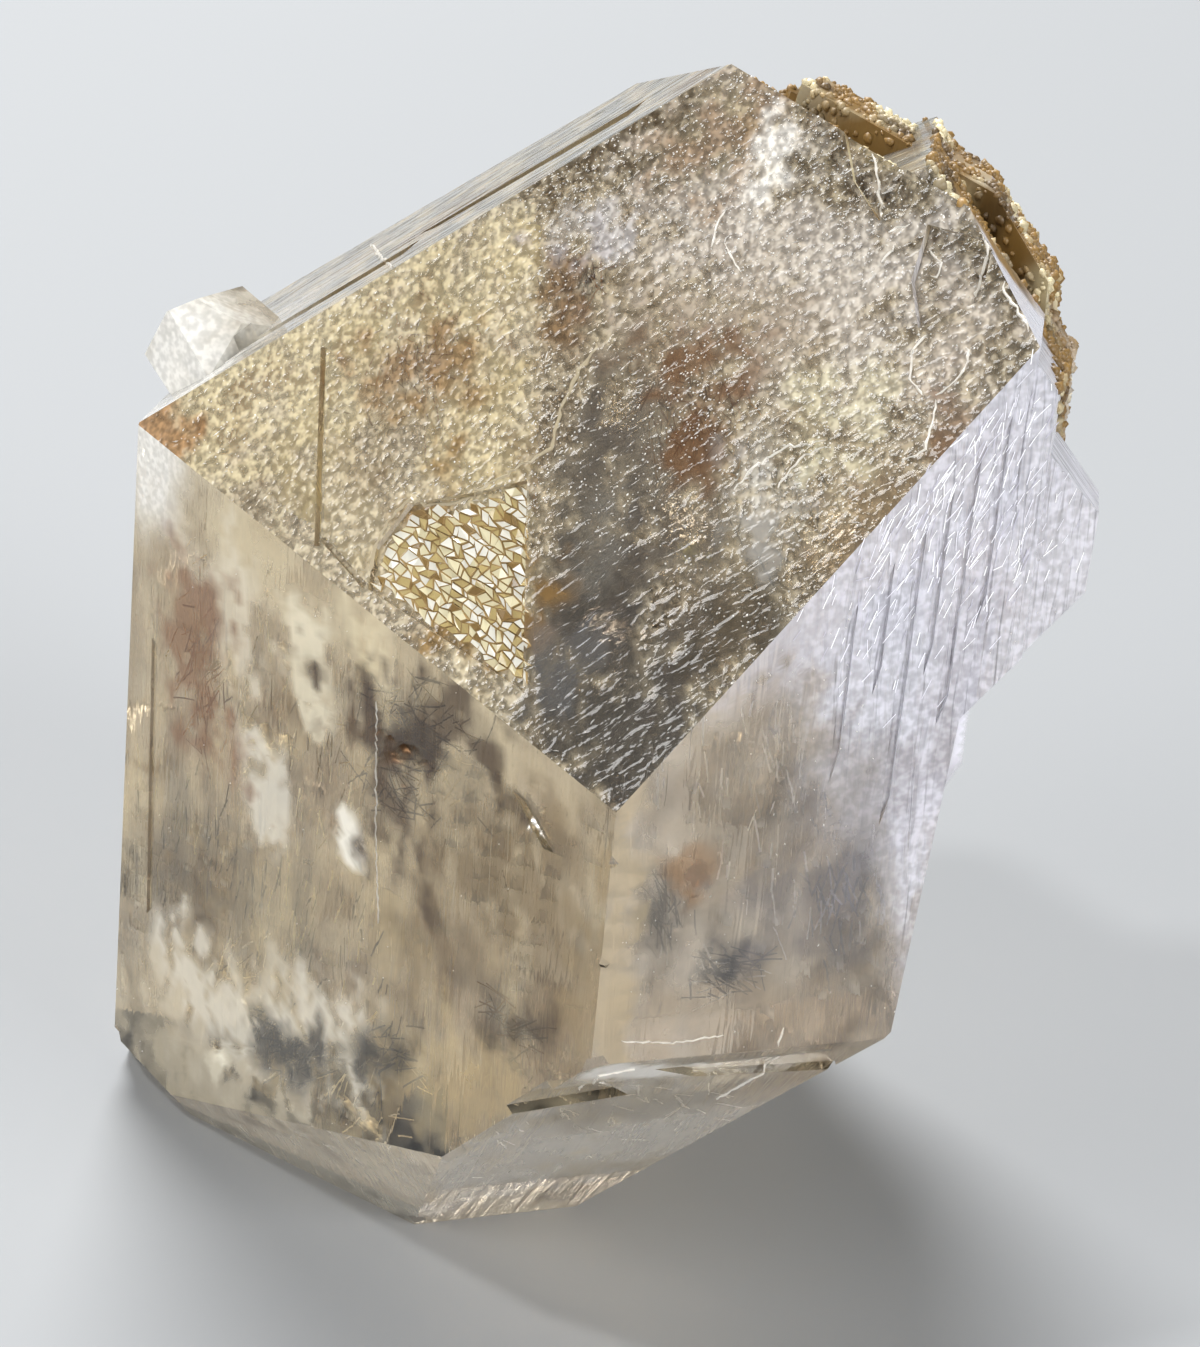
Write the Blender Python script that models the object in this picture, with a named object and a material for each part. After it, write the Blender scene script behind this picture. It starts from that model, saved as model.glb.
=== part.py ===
"""Smoky quartz crystal: a stubby doubly terminated crystal, one solid, standing on its broken base.

Millimetres in the tables, metres in the scene. The c axis is +Z and the base is at z = 0. A face is given
by the compass direction that it looks to (azimuth, from +X), how far its normal leans from the c axis
(slope) and how far it lies from a point on the base. Everything is then moved by -MIDDLE, so that the
origin is under the middle of the crystal.
"""

import math
import random

import bmesh
import bpy
from mathutils import Matrix, Vector

MM = 0.001
NAME = "crystal"
BLOCK = 200.0  # mm, the raw block that the faces are cleaved from
SLIVER = 0.02  # mm, corners nearer than this are merged

MIDDLE = (0.17, 3.885, 0.0)  # mm, the middle of the crystal's extent across the c axis

# Quartz: the rhombohedral faces lean this far from the c axis, and the same below the equator.
AXIAL_RATIO = 1.10013
RHOMB = math.degrees(math.atan(AXIAL_RATIO * 2 / math.sqrt(3)))
UNDER = 180 - RHOMB

# The main individual: (azimuth deg, slope deg, distance mm)
MAIN_FACES = {
    "great roof": (-131.6, 54.7, 22.5),
    "left roof": (169, 37.5, 34.0),
    "right roof": (0, RHOMB, 37.2),
    "back right roof": (36, RHOMB, 32.6),
    "back left roof": (106, RHOMB, 34.9),
    "front left prism": (-136.9, 88.7, 8.7),
    "front right prism": (-72.3, 90, 14.55),
    "right prism": (-8.5, 94.5, 12.8),
    "back right prism": (46, 90, 18.5),
    "back left prism": (106, 90, 20.5),
    "left prism": (166, 87.4, 18.55),
    "front left foot": (-122.8, 120.3, 4.1),
    "front right foot": (-73.3, 129, 1.25),
    "right foot": (-14, UNDER, 1.8),
    "left foot": (-143.8, 125, 7.6),
    "back right foot": (46, UNDER, 12.0),
    "back left foot": (106, UNDER, 13.5),
}
# Smaller individuals have grown on, parallel to the main one: two up its right side, and a thick
# iron-stained one over the back right roof.
SHOULDER_FACES = {
    "great roof": (-131.6, 54.7, 22.35),
    "right roof": (1, RHOMB - 0.6, 36.9),
    "left roof": (160, 30, 33.0),
    "front": (-72.3, 90, 14.2),
    "right": (-10, 90, 17.0),
    "under": (-14, UNDER, -5.0),
    "back right": (46, 90, 13.0),
    "inside": (166, 90, -6.0),
}
SPUR_FACES = {
    "great roof": (-131.6, 54.7, 20.5),
    "right roof": (0, RHOMB, 35.8),
    "front": (-72.3, 90, 13.0),
    "right": (-6, 91.5, 17.5),
    "top": (-6, 50, 36.5),
    "under": (-14, UNDER, -4.8),
    "back": (80, 90, -3.0),
    "inside": (166, 90, -9.0),
}
CRUST_FACES = {
    "top": (19.4, 20, 44.9),
    "right": (3, RHOMB, 37.5),
    "great roof": (-131.6, 54.7, 21.5),
    "far right": (-10, 88, 17.4),
    "left": (160, 78, 4.4),
    "back": (46, 62, 31.3),
    "back left": (100, 75, 19.5),
    "under": (-10, 150, -22.0),
    "front": (-131.6, 80, -1.0),
}
GROWN_ON = {"shoulder": SHOULDER_FACES, "spur": SPUR_FACES, "crust": CRUST_FACES}

# Broken bits of older growth stuck to the outside: (centre mm, radius mm)
NUGGETS = {
    "corner_nugget": ((-13.8, 9.6, 31.0), 3.0),
    "crust_nugget_a": ((8.0, 8.2, 41.4), 2.5),
    "crust_nugget_b": ((12.6, 6.0, 39.6), 2.9),
    "crust_nugget_c": ((14.2, 2.4, 37.0), 2.6),
    "crust_nugget_d": ((9.0, 12.0, 36.0), 2.8),
    "crust_nugget_e": ((13.0, 8.6, 32.6), 3.2),
}
NUGGET_CUTS = 16
NUGGET_SEED = 7

# Where a face is measured from: the edge with its neighbour, from one corner (the third face there) to the other
MEASURED_FROM = {
    "great roof": ("front left prism", "front right prism", "left roof"),
    "left roof": ("great roof", "front left prism", "right roof"),
    "front left prism": ("front right prism", "great roof", "front left foot"),
    "front right prism": ("front left prism", "great roof", "front right foot"),
    "front right foot": ("front right prism", "front left prism", "right prism"),
}

# Growth steps: shallow plates missing from a face. The outline is in mm on the face, along that edge and away
# from it, then the depth of the step.
STEPS = {
    "roof_patch": ("great roof", [(14.0, 0.6), (14.8, 1.9), (14.6, 3.9), (12.4, 5.6), (10.8, 7.0), (5.9, 1.2)], 0.25),
    "roof_groove_long": ("great roof", [(22.25, 6.45), (22.0, 6.55), (16.95, 0.75), (17.2, 0.6)], 0.3),
    "roof_groove_short": ("great roof", [(17.2, 0.9), (17.0, 1.1), (14.2, 0.75), (14.2, 0.5)], 0.25),
    "roof_crest": ("great roof", [(9.0, 23.6), (4.9, 23.6), (4.6, 20.7), (6.4, 21.4)], 0.2),
    "roof_brow": ("great roof", [(2.9, 21.4), (0.4, 22.0), (-0.5, 20.2), (0.9, 18.4), (2.2, 19.6)], 0.25),
    "left_eave_step": ("left roof", [(12.0, 2.0), (2.5, 2.6), (2.0, 3.4), (12.5, 3.0)], 0.3),
    "left_upper_step": ("left roof", [(22.0, 2.4), (13.0, 3.6), (12.0, 4.4), (22.5, 3.6)], 0.35),
    "left_prism_step": ("front left prism", [(5.0, 26.4), (5.3, 26.1), (17.0, 26.0), (17.4, 26.3)], 0.15),
    "left_prism_chip": ("front left prism", [(1.6, 5.1), (1.7, 4.4), (2.9, 2.8), (3.0, 3.3)], 0.25),
    "foot_step": ("front right foot", [(2.6, 1.2), (9.0, 0.9), (10.0, 3.4), (4.4, 2.6)], 0.3),
    "foot_flake": ("front right foot", [(-3.0, 3.0), (1.0, 2.2), (2.4, 4.2), (-2.0, 5.4)], 0.35),
}
# Upright growth ribs on the front right prism: (top, bottom, distance from the front edge, width), all in mm
RIBS = [
    (-13.6, -6.2, 11.7, 0.22),
    (-12.2, -2.5, 10.8, 0.3),
    (-11.0, -4.4, 10.1, 0.2),
    (-9.8, 1.2, 9.3, 0.26),
    (-8.6, -3.8, 8.4, 0.2),
    (-7.2, -0.6, 7.3, 0.24),
]
RIB_DEPTH = 0.12  # mm
BACK_STEPS = 9  # broken steps on each of the back prisms
STEP_SEED = 11
STEP_OVERHANG = 0.6  # mm, how far a cutter stands out of the face

# Chips knocked off edges and corners, and pits: (centre mm, radius mm)
CHIPS = {
    "corner_chip": ((-17.2, 5.6, 30.6), 1.3),
    "eave_chip": ((-2.2, -9.9, 27.6), 0.55),
    "front_edge_chip": ((2.7, -15.1, 20.4), 0.75),
    "front_edge_nick": ((2.7, -15.2, 24.1), 0.8),
    "front_foot_chip": ((2.4, -15.2, 15.9), 0.9),
    "toe_chip": ((-4.2, -3.9, -0.2), 1.1),
    "left_toe_chip": ((-18.2, 6.0, 1.4), 1.2),
    "right_edge_chip": ((14.6, -11.6, 21.0), 0.8),
    "spur_chip": ((18.4, -7.4, 35.6), 0.9),
    "back_hollow": ((-3.0, 22.6, 22.0), 4.2),
    "back_pit": ((3.4, 22.4, 15.0), 2.6),
    "side_pit": ((14.6, 9.6, 17.0), 3.2),
    "left_pit": ((-19.6, 13.5, 17.0), 2.2),
}


def outward(azimuth, slope):
    """Unit vector that a face looks along."""
    turn, lean = math.radians(azimuth), math.radians(slope)
    return Vector((math.sin(lean) * math.cos(turn), math.sin(lean) * math.sin(turn), math.cos(lean)))


def cleave(bm, point, normal):
    """Cuts off what lies outside one plane and closes the cut with a flat facet."""
    everything = bm.verts[:] + bm.edges[:] + bm.faces[:]
    cut = bmesh.ops.bisect_plane(
        bm, geom=everything, plane_co=point, plane_no=normal, clear_outer=True
    )
    rim = [part for part in cut["geom_cut"] if isinstance(part, bmesh.types.BMEdge)]
    if len(rim) > 2:
        bmesh.ops.contextual_create(bm, geom=rim)


def placed(name, bm):
    """The finished mesh as an object, moved so that the crystal stands centred on the origin."""
    bmesh.ops.translate(bm, verts=bm.verts, vec=-Vector(MIDDLE) * MM)
    mesh = bpy.data.meshes.new(name)
    bm.to_mesh(mesh)
    bm.free()
    return bpy.data.objects.new(name, mesh)


def individual(name, faces, floor):
    """One crystal individual: a block cleaved by its faces and cut level at the floor height."""
    bm = bmesh.new()
    bmesh.ops.create_cube(bm, size=BLOCK * MM)
    for azimuth, slope, distance in faces.values():
        normal = outward(azimuth, slope)
        cleave(bm, normal * distance * MM, normal)
    cleave(bm, Vector((0, 0, floor * MM)), Vector((0, 0, -1)))
    bmesh.ops.remove_doubles(bm, verts=bm.verts, dist=SLIVER * MM)
    return placed(name, bm)


def nugget(name, centre, radius, dice):
    """A broken lump: a block knapped by planes that all lie about one radius from its centre."""
    middle = Vector(centre) * MM
    bm = bmesh.new()
    bmesh.ops.create_cube(bm, size=4 * radius * MM, matrix=Matrix.Translation(middle))
    for k in range(NUGGET_CUTS):
        height = 1 - 2 * (k + 0.5) / NUGGET_CUTS
        turn = k * math.pi * (3 - math.sqrt(5)) + dice.uniform(-0.3, 0.3)
        flat = math.sqrt(1 - height * height)
        normal = Vector((flat * math.cos(turn), flat * math.sin(turn), height))
        cleave(bm, middle + normal * radius * MM * dice.uniform(0.72, 1.0), normal)
    bmesh.ops.remove_doubles(bm, verts=bm.verts, dist=SLIVER * MM)
    return placed(name, bm)


def meeting(*faces):
    """The point where three faces of the main individual meet, in mm."""
    normals = [outward(*MAIN_FACES[face][:2]) for face in faces]
    distances = Vector([MAIN_FACES[face][2] for face in faces])
    return Matrix(normals).inverted() @ distances


def faceFrame(face):
    """Origin, along, across and normal of a face, as MEASURED_FROM says, or level and upright without an entry."""
    normal = outward(*MAIN_FACES[face][:2])
    if face not in MEASURED_FROM:
        along = Vector((0, 0, 1)).cross(normal).normalized()
        return normal * MAIN_FACES[face][2], along, normal.cross(along), normal
    neighbour, start, end = MEASURED_FROM[face]
    corner = meeting(face, neighbour, start)
    along = (meeting(face, neighbour, end) - corner).normalized()
    across = along.cross(normal)
    if across.dot(outward(*MAIN_FACES[neighbour][:2])) > 0:
        across.negate()
    return corner, along, across, normal


def plate(name, face, outline, depth):
    """A flat cutter that takes a step of the given depth out of a face."""
    corner, along, across, normal = faceFrame(face)
    bm = bmesh.new()
    rim = [bm.verts.new((corner + along * u + across * v - normal * depth) * MM) for u, v in outline]
    floor = bm.faces.new(rim)
    grown = bmesh.ops.extrude_face_region(bm, geom=[floor])["geom"]
    lifted = [part for part in grown if isinstance(part, bmesh.types.BMVert)]
    bmesh.ops.translate(bm, verts=lifted, vec=normal * (depth + STEP_OVERHANG) * MM)
    bmesh.ops.recalc_face_normals(bm, faces=bm.faces)
    return placed(name, bm)


def ribs():
    """Upright growth ribs: narrow steps with slanting ends."""
    made = []
    for k, (top, bottom, away, width) in enumerate(RIBS):
        outline = [(bottom, away), (bottom - 1.1, away + width), (top, away + 0.8 * width), (top + 1.2, away - 0.2)]
        made.append(plate(f"rib_{k}", "front right prism", outline, RIB_DEPTH))
    return made


def backSteps(dice):
    """Broken steps scattered over the two back prisms, as angular plates of uneven depth."""
    made = []
    for face, low, high in (("back right prism", -9.0, 8.0), ("back left prism", -10.0, 9.0)):
        for k in range(BACK_STEPS):
            middle = (low + (high - low) * ((k * 0.618) % 1.0), 4.0 + 21.0 * (k + 0.5) / BACK_STEPS)
            reach = dice.uniform(1.6, 3.4)
            outline = []
            for corner in range(6):
                turn = math.tau * (corner + dice.uniform(-0.3, 0.3)) / 6
                span = reach * dice.uniform(0.6, 1.0)
                outline.append((middle[0] + span * math.cos(turn), middle[1] + 0.7 * span * math.sin(turn)))
            made.append(plate(f"{face.replace(' ', '_')}_step_{k}", face, outline, dice.uniform(0.25, 0.7)))
    return made


def clearScene():
    for old in list(bpy.data.objects):
        bpy.data.objects.remove(old, do_unlink=True)


def combine(crystal, helper, operation, cutters):
    """Joins a helper to the crystal, or cuts it out, and keeps the helper hidden."""
    cutters.objects.link(helper)
    helper.hide_render = True
    helper.display_type = "WIRE"
    step = crystal.modifiers.new(helper.name, "BOOLEAN")
    step.operation = operation
    step.solver = "EXACT"
    step.object = helper


def smokyQuartz():
    """Clear quartz with a grey-brown smoke in it."""
    material = bpy.data.materials.new("smoky_quartz")
    material.use_nodes = True
    shader = material.node_tree.nodes["Principled BSDF"]
    shader.inputs["Base Color"].default_value = (0.62, 0.55, 0.46, 1.0)
    shader.inputs["Roughness"].default_value = 0.12
    shader.inputs["Metallic"].default_value = 0.0
    shader.inputs["IOR"].default_value = 1.544
    shader.inputs["Transmission Weight"].default_value = 0.85
    return material


def main():
    clearScene()
    parts = bpy.data.collections.new("smoky_quartz_crystal")
    cutters = bpy.data.collections.new("cutters")
    bpy.context.scene.collection.children.link(parts)
    bpy.context.scene.collection.children.link(cutters)
    crystal = individual(NAME, MAIN_FACES, 0.0)
    parts.objects.link(crystal)
    dice = random.Random(NUGGET_SEED)
    additions = [individual(name, faces, 1.0) for name, faces in GROWN_ON.items()]
    additions += [nugget(name, centre, radius, dice) for name, (centre, radius) in NUGGETS.items()]
    for grown in additions:
        combine(crystal, grown, "UNION", cutters)
    removals = [plate(name, face, outline, depth) for name, (face, outline, depth) in STEPS.items()]
    removals += ribs() + backSteps(random.Random(STEP_SEED))
    removals += [nugget(name, centre, radius, dice) for name, (centre, radius) in CHIPS.items()]
    for removed in removals:
        combine(crystal, removed, "DIFFERENCE", cutters)
    crystal.data.materials.append(smokyQuartz())


main()
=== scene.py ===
import math
import random

import bmesh
import bpy
from mathutils import Euler, Matrix, Vector, noise
from mathutils.bvhtree import BVHTree


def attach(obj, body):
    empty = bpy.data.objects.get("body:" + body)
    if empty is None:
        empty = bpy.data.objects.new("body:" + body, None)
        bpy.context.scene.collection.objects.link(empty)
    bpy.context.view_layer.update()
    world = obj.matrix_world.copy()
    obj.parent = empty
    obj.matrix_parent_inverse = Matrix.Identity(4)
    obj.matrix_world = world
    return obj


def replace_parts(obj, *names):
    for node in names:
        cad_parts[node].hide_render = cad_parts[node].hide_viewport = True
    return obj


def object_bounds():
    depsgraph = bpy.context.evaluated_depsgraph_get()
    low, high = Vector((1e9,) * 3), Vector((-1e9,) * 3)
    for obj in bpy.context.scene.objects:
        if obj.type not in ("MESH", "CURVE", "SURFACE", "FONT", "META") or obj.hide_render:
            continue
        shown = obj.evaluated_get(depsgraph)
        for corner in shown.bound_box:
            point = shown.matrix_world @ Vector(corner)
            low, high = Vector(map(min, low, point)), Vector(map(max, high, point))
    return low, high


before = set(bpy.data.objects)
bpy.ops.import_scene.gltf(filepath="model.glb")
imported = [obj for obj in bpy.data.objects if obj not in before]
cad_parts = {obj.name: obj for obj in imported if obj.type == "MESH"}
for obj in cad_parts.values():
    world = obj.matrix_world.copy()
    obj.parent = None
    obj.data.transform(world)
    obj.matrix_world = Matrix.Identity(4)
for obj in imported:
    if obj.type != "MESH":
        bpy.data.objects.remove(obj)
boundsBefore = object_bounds()
scene = bpy.context.scene
print("frame loaded")


def mm(*values):
    return Vector(values) * 0.001


def linear(hexColour, alpha=1.0):
    channels = [int(hexColour[k:k + 2], 16) / 255 for k in (1, 3, 5)]
    return [c / 12.92 if c < 0.04045 else ((c + 0.055) / 1.055) ** 2.4 for c in channels] + [alpha]


def addNode(tree, kind, links=None, values=None, **settings):
    # one node, its settings, its socket values and what feeds its sockets
    made = tree.nodes.new(kind)
    for name, value in settings.items():
        setattr(made, name, value)
    for socket, value in (values or {}).items():
        made.inputs[socket].default_value = value
    for socket, source in (links or {}).items():
        tree.links.new(source, made.inputs[socket])
    return made


def newMaterial(name):
    material = bpy.data.materials.new(name)
    material.use_nodes = True
    material.node_tree.nodes.clear()
    return material, material.node_tree


def tonedMaterial(name, values, seeThrough=False):
    # a finish that takes its colour, and its cover if it is see-through, from the piece's own tone
    material, tree = newMaterial(name)
    tone = addNode(tree, "ShaderNodeAttribute", attribute_name="tone")
    links = {"Base Color": tone.outputs["Color"]}
    if seeThrough:
        links["Alpha"] = tone.outputs["Alpha"]
    shader = addNode(tree, "ShaderNodeBsdfPrincipled", links, values)
    addNode(tree, "ShaderNodeOutputMaterial", {"Surface": shader.outputs[0]})
    return material


def finishPiece(name, bm, material, smooth=False):
    mesh = bpy.data.meshes.new(name)
    bm.to_mesh(mesh)
    bm.free()
    for face in mesh.polygons:
        face.use_smooth = smooth
    mesh.materials.append(material)
    piece = bpy.data.objects.new(name, mesh)
    scene.collection.objects.link(piece)
    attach(piece, "root")
    return piece


batchSize = 150  # small shapes made between two pours
halfUnit = 0.0005  # m: a square grid of this size is 1 mm wide, so a matrix scales it in mm


def pour(batch, whole):
    # adds a batch of small shapes to the whole piece: a bmesh operator slows down as its mesh grows
    mesh = bpy.data.meshes.new("batch")
    batch.to_mesh(mesh)
    batch.free()
    whole.from_mesh(mesh)
    bpy.data.meshes.remove(mesh)
    return bmesh.new()


# where things are on the faces: each has a corner to measure from in mm, the way that u runs along it
# and the way that it looks
faces = {
    "roof": ((2.33, -18.38, 26.0), (-0.6751, 0.7256, 0.1333), (-0.5419, -0.6103, 0.5779)),
    "leftRoof": ((-16.49, 1.86, 29.71), (0.784, -0.1226, 0.6085), (-0.5976, 0.1162, 0.7934)),
    "frontLeft": ((2.33, -18.38, 26.0), (-0.6833, 0.7302, 0.0), (-0.73, -0.6831, 0.0227)),
    "frontRight": ((2.33, -18.38, 26.0), (0.9527, 0.304, 0.0), (0.304, -0.9527, 0.0)),
    "foot": ((2.09, -18.45, 16.04), (0.9523, 0.3045, -0.0222), (0.2233, -0.7444, -0.6293)),
    "leftFoot": ((-3.06, -13.22, 8.02), (-0.6399, 0.6718, -0.3731), (-0.4677, -0.7257, -0.5045)),
}
# whether v runs up a face or down it
acrossRises = {"roof": 1, "leftRoof": -1, "frontLeft": -1, "frontRight": -1, "foot": -1, "leftFoot": -1}
# how closely a triangle must look the way that a face looks, as a cosine
sameWay = {"plane": 0.99, "roof": 0.97, "painted": 0.96, "front": 0.9}
probe = 0.004  # m above a face, where a ray starts down to the real surface
cadSurface = BVHTree.FromPolygons(
    [v.co.copy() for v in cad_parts["crystal"].data.vertices],
    [p.vertices[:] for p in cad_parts["crystal"].data.polygons])


def measureFace(face):
    corner, along, normal = (Vector(part) for part in faces[face])
    normal.normalize()
    along = (along - normal * along.dot(normal)).normalized()
    across = along.cross(normal)
    if across.z * acrossRises[face] < 0:
        across.negate()
    return corner * 0.001, along, across, normal


measured = {face: measureFace(face) for face in faces}


def faceAxes(face):
    return measured[face]


def spotOn(face, u, v):
    # the real surface under (u, v) mm on a face, and how it leans there
    corner, along, across, normal = faceAxes(face)
    start = corner + (along * u + across * v) * 0.001 + normal * probe
    hit, lean = cadSurface.ray_cast(start, -normal, 0.009)[:2]
    return (hit, lean) if hit else (start - normal * probe, normal)


def onFace(face, u, v):
    # whether (u, v) is on the face itself and not past its edge
    corner, along, across, normal = faceAxes(face)
    start = corner + (along * u + across * v) * 0.001 + normal * probe
    hit, lean = cadSurface.ray_cast(start, -normal, 0.006)[:2]
    return hit is not None and lean.dot(normal) > sameWay["plane"]


def heightOver(point, face):
    # mm that a point stands out of a face's plane
    return (point - faceAxes(face)[0]).dot(faceAxes(face)[3]) * 1000


def placeOn(point, face):
    # (u, v) in mm of a point on a face
    corner, along, across, normal = faceAxes(face)
    return (point - corner).dot(along) * 1000, (point - corner).dot(across) * 1000


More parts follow.
